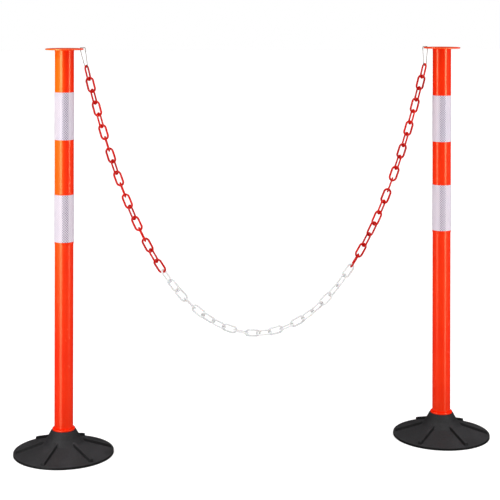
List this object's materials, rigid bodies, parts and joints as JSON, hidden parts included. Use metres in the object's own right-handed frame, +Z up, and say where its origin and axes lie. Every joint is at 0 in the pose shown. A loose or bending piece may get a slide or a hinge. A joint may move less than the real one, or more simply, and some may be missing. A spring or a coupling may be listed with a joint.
{
  "type": "plastic chain stanchion",
  "caption": "Pair of orange posts with reflective bands on ribbed rubber bases, joined by a hanging red and white plastic chain on wire loops.",
  "frame": {"origin": "on the floor, midway between the two posts' axes", "axes": "+X from the left post to the right post, +Y away from the front, +Z up"},
  "size_m": [1.429, 0.291, 1.1832],
  "materials": {
    "orange_plastic": "moulded polyethylene, satin gloss",
    "reflective_film": "prismatic retroreflective film with a fine diamond lattice",
    "black_rubber": "matte moulded recycled rubber with a fine grain",
    "red_plastic": "glossy moulded plastic",
    "white_plastic": "glossy moulded plastic",
    "steel_wire": "drawn bare wire"
  },
  "bodies": {
    "left_post": {"left_foot_plug": "orange_plastic", "left_post_tube": "orange_plastic", "left_lower_reflective_band": "reflective_film", "left_upper_reflective_band": "reflective_film", "left_top_cap": "orange_plastic"},
    "left_base": {"left_rubber_base": "black_rubber"},
    "left_loop": {"left_wire_loop": "steel_wire"},
    "right_post": {"right_foot_plug": "orange_plastic", "right_post_tube": "orange_plastic", "right_lower_reflective_band": "reflective_film", "right_upper_reflective_band": "reflective_film", "right_top_cap": "orange_plastic"},
    "right_base": {"right_rubber_base": "black_rubber"},
    "right_loop": {"right_wire_loop": "steel_wire"},
    "chain_links_01_to_08": {"chain_links_01_02": "red_plastic", "chain_links_03_04": "red_plastic", "chain_links_05_06": "red_plastic", "chain_links_07_08": "red_plastic"},
    "chain_links_09_to_14": {"chain_links_09_10": "red_plastic", "chain_link_11": "red_plastic", "chain_link_12": "red_plastic", "chain_link_13": "red_plastic", "chain_link_14": "red_plastic"},
    "chain_links_15_to_19": {"chain_link_15": "red_plastic", "chain_link_16": "red_plastic", "chain_link_17": "red_plastic", "chain_link_18": "red_plastic", "chain_link_19": "white_plastic"},
    "chain_links_20_to_23": {"chain_link_20": "white_plastic", "chain_link_21": "white_plastic", "chain_link_22": "white_plastic", "chain_link_23": "white_plastic"},
    "chain_link_24": {"chain_link_24": "white_plastic"},
    "chain_link_25": {"chain_link_25": "white_plastic"},
    "chain_link_26": {"chain_link_26": "white_plastic"},
    "chain_link_27": {"chain_link_27": "white_plastic"},
    "chain_link_28": {"chain_link_28": "white_plastic"},
    "chain_link_29": {"chain_link_29": "white_plastic"},
    "chain_link_30": {"chain_link_30": "white_plastic"},
    "chain_link_31": {"chain_link_31": "white_plastic"},
    "chain_link_32": {"chain_link_32": "white_plastic"},
    "chain_link_33": {"chain_link_33": "white_plastic"},
    "chain_links_34_to_37": {"chain_link_34": "white_plastic", "chain_link_35": "white_plastic", "chain_link_36": "white_plastic", "chain_link_37": "white_plastic"},
    "chain_links_38_to_42": {"chain_link_38": "white_plastic", "chain_link_39": "red_plastic", "chain_link_40": "red_plastic", "chain_link_41": "red_plastic", "chain_link_42": "red_plastic"},
    "chain_links_43_to_48": {"chain_link_43": "red_plastic", "chain_link_44": "red_plastic", "chain_link_45": "red_plastic", "chain_link_46": "red_plastic", "chain_links_47_48": "red_plastic"},
    "chain_links_49_to_56": {"chain_links_49_50": "red_plastic", "chain_links_51_52": "red_plastic", "chain_links_53_54": "red_plastic", "chain_links_55_56": "red_plastic"}
  },
  "joints": [
    {"name": "post_spacing", "type": "slide", "parent": "left_post", "child": "right_post", "axis": [1, 0, 0], "range_m": [-0.1, 0.1]},
    {"name": "left_base_turn", "type": "hinge", "parent": "left_post", "child": "left_base", "pos_m": [-0.569, 0, 0], "axis": [0, 0, 1], "continuous": true},
    {"name": "right_base_turn", "type": "hinge", "parent": "right_post", "child": "right_base", "pos_m": [0.569, 0, 0], "axis": [0, 0, 1], "continuous": true},
    {"name": "chain_swing", "type": "hinge", "parent": "left_post", "child": "left_loop", "pos_m": [-0.524, 0, 1.17825], "axis": [1, 0, 0], "range_deg": [-40, 40]},
    {"name": "right_loop_swing", "type": "hinge", "parent": "right_post", "child": "right_loop", "pos_m": [0.524, 0, 1.17825], "axis": [1, 0, 0], "range_deg": [-40.5, 40.5]},
    {"name": "links_01_to_08_bend", "type": "hinge", "parent": "left_loop", "child": "chain_links_01_to_08", "pos_m": [-0.5054, 0, 1.1258], "axis": [0, 1, 0], "range_deg": [-2.88, 2.88]},
    {"name": "links_09_to_14_bend", "type": "hinge", "parent": "chain_links_01_to_08", "child": "chain_links_09_to_14", "pos_m": [-0.42832, 0, 0.84898], "axis": [0, 1, 0], "range_deg": [-0.93, 0.93]},
    {"name": "links_15_to_19_bend", "type": "hinge", "parent": "chain_links_09_to_14", "child": "chain_links_15_to_19", "pos_m": [-0.34948, 0, 0.64847], "axis": [0, 1, 0], "range_deg": [-1.05, 1.05]},
    {"name": "links_20_to_23_bend", "type": "hinge", "parent": "chain_links_15_to_19", "child": "chain_links_20_to_23", "pos_m": [-0.25915, 0, 0.49348], "axis": [0, 1, 0], "range_deg": [-0.7, 0.7]},
    {"name": "link_24_bend", "type": "hinge", "parent": "chain_links_20_to_23", "child": "chain_link_24", "pos_m": [-0.15998, 0, 0.39011], "axis": [0, 1, 0], "range_deg": [-0.3431, 0.3431]},
    {"name": "link_25_bend", "type": "hinge", "parent": "chain_link_24", "child": "chain_link_25", "pos_m": [-0.13026, 0, 0.36992], "axis": [0, 1, 0], "range_deg": [-0.6, 0.6]},
    {"name": "link_26_bend", "type": "hinge", "parent": "chain_link_25", "child": "chain_link_26", "pos_m": [-0.09849, 0, 0.35314], "axis": [0, 1, 0], "range_deg": [-0.94, 0.94]},
    {"name": "link_27_bend", "type": "hinge", "parent": "chain_link_26", "child": "chain_link_27", "pos_m": [-0.06487, 0, 0.34046], "axis": [0, 1, 0], "range_deg": [-1.3, 1.3]},
    {"name": "link_28_bend", "type": "hinge", "parent": "chain_link_27", "child": "chain_link_28", "pos_m": [-0.02983, 0, 0.33252], "axis": [0, 1, 0], "range_deg": [-1.58, 1.58]},
    {"name": "links_49_to_56_bend", "type": "hinge", "parent": "right_loop", "child": "chain_links_49_to_56", "pos_m": [0.515, 0, 1.1258], "axis": [0, 1, 0], "range_deg": [-2.88, 2.88]},
    {"name": "links_43_to_48_bend", "type": "hinge", "parent": "chain_links_49_to_56", "child": "chain_links_43_to_48", "pos_m": [0.43792, 0, 0.84898], "axis": [0, 1, 0], "range_deg": [-0.93, 0.93]},
    {"name": "links_38_to_42_bend", "type": "hinge", "parent": "chain_links_43_to_48", "child": "chain_links_38_to_42", "pos_m": [0.35908, 0, 0.64847], "axis": [0, 1, 0], "range_deg": [-1.05, 1.05]},
    {"name": "links_34_to_37_bend", "type": "hinge", "parent": "chain_links_38_to_42", "child": "chain_links_34_to_37", "pos_m": [0.26875, 0, 0.49348], "axis": [0, 1, 0], "range_deg": [-0.7, 0.7]},
    {"name": "link_33_bend", "type": "hinge", "parent": "chain_links_34_to_37", "child": "chain_link_33", "pos_m": [0.16958, 0, 0.39011], "axis": [0, 1, 0], "range_deg": [-0.3431, 0.3431]},
    {"name": "link_32_bend", "type": "hinge", "parent": "chain_link_33", "child": "chain_link_32", "pos_m": [0.13986, 0, 0.36992], "axis": [0, 1, 0], "range_deg": [-0.6, 0.6]},
    {"name": "link_31_bend", "type": "hinge", "parent": "chain_link_32", "child": "chain_link_31", "pos_m": [0.10809, 0, 0.35314], "axis": [0, 1, 0], "range_deg": [-0.94, 0.94]},
    {"name": "link_30_bend", "type": "hinge", "parent": "chain_link_31", "child": "chain_link_30", "pos_m": [0.07447, 0, 0.34046], "axis": [0, 1, 0], "range_deg": [-1.3, 1.3]},
    {"name": "link_29_bend", "type": "hinge", "parent": "chain_link_30", "child": "chain_link_29", "pos_m": [0.03943, 0, 0.33252], "axis": [0, 1, 0], "range_deg": [-1.58, 1.58]}
  ],
  "couplings": [
    {"joint": "right_loop_swing", "follows": "chain_swing", "ratio": 1},
    {"joint": "links_01_to_08_bend", "follows": "post_spacing", "rad_per_m": -0.4609},
    {"joint": "links_09_to_14_bend", "follows": "post_spacing", "rad_per_m": -0.14582},
    {"joint": "links_15_to_19_bend", "follows": "post_spacing", "rad_per_m": -0.16562},
    {"joint": "links_20_to_23_bend", "follows": "post_spacing", "rad_per_m": -0.10826},
    {"joint": "link_24_bend", "follows": "post_spacing", "rad_per_m": 0.050591},
    {"joint": "link_25_bend", "follows": "post_spacing", "rad_per_m": 0.092472},
    {"joint": "link_26_bend", "follows": "post_spacing", "rad_per_m": 0.1477},
    {"joint": "link_27_bend", "follows": "post_spacing", "rad_per_m": 0.20526},
    {"joint": "link_28_bend", "follows": "post_spacing", "rad_per_m": 0.25058},
    {"joint": "links_49_to_56_bend", "follows": "post_spacing", "rad_per_m": 0.4609},
    {"joint": "links_43_to_48_bend", "follows": "post_spacing", "rad_per_m": 0.14582},
    {"joint": "links_38_to_42_bend", "follows": "post_spacing", "rad_per_m": 0.16562},
    {"joint": "links_34_to_37_bend", "follows": "post_spacing", "rad_per_m": 0.10826},
    {"joint": "link_33_bend", "follows": "post_spacing", "rad_per_m": -0.050591},
    {"joint": "link_32_bend", "follows": "post_spacing", "rad_per_m": -0.092472},
    {"joint": "link_31_bend", "follows": "post_spacing", "rad_per_m": -0.1477},
    {"joint": "link_30_bend", "follows": "post_spacing", "rad_per_m": -0.20526},
    {"joint": "link_29_bend", "follows": "post_spacing", "rad_per_m": -0.25058}
  ]
}
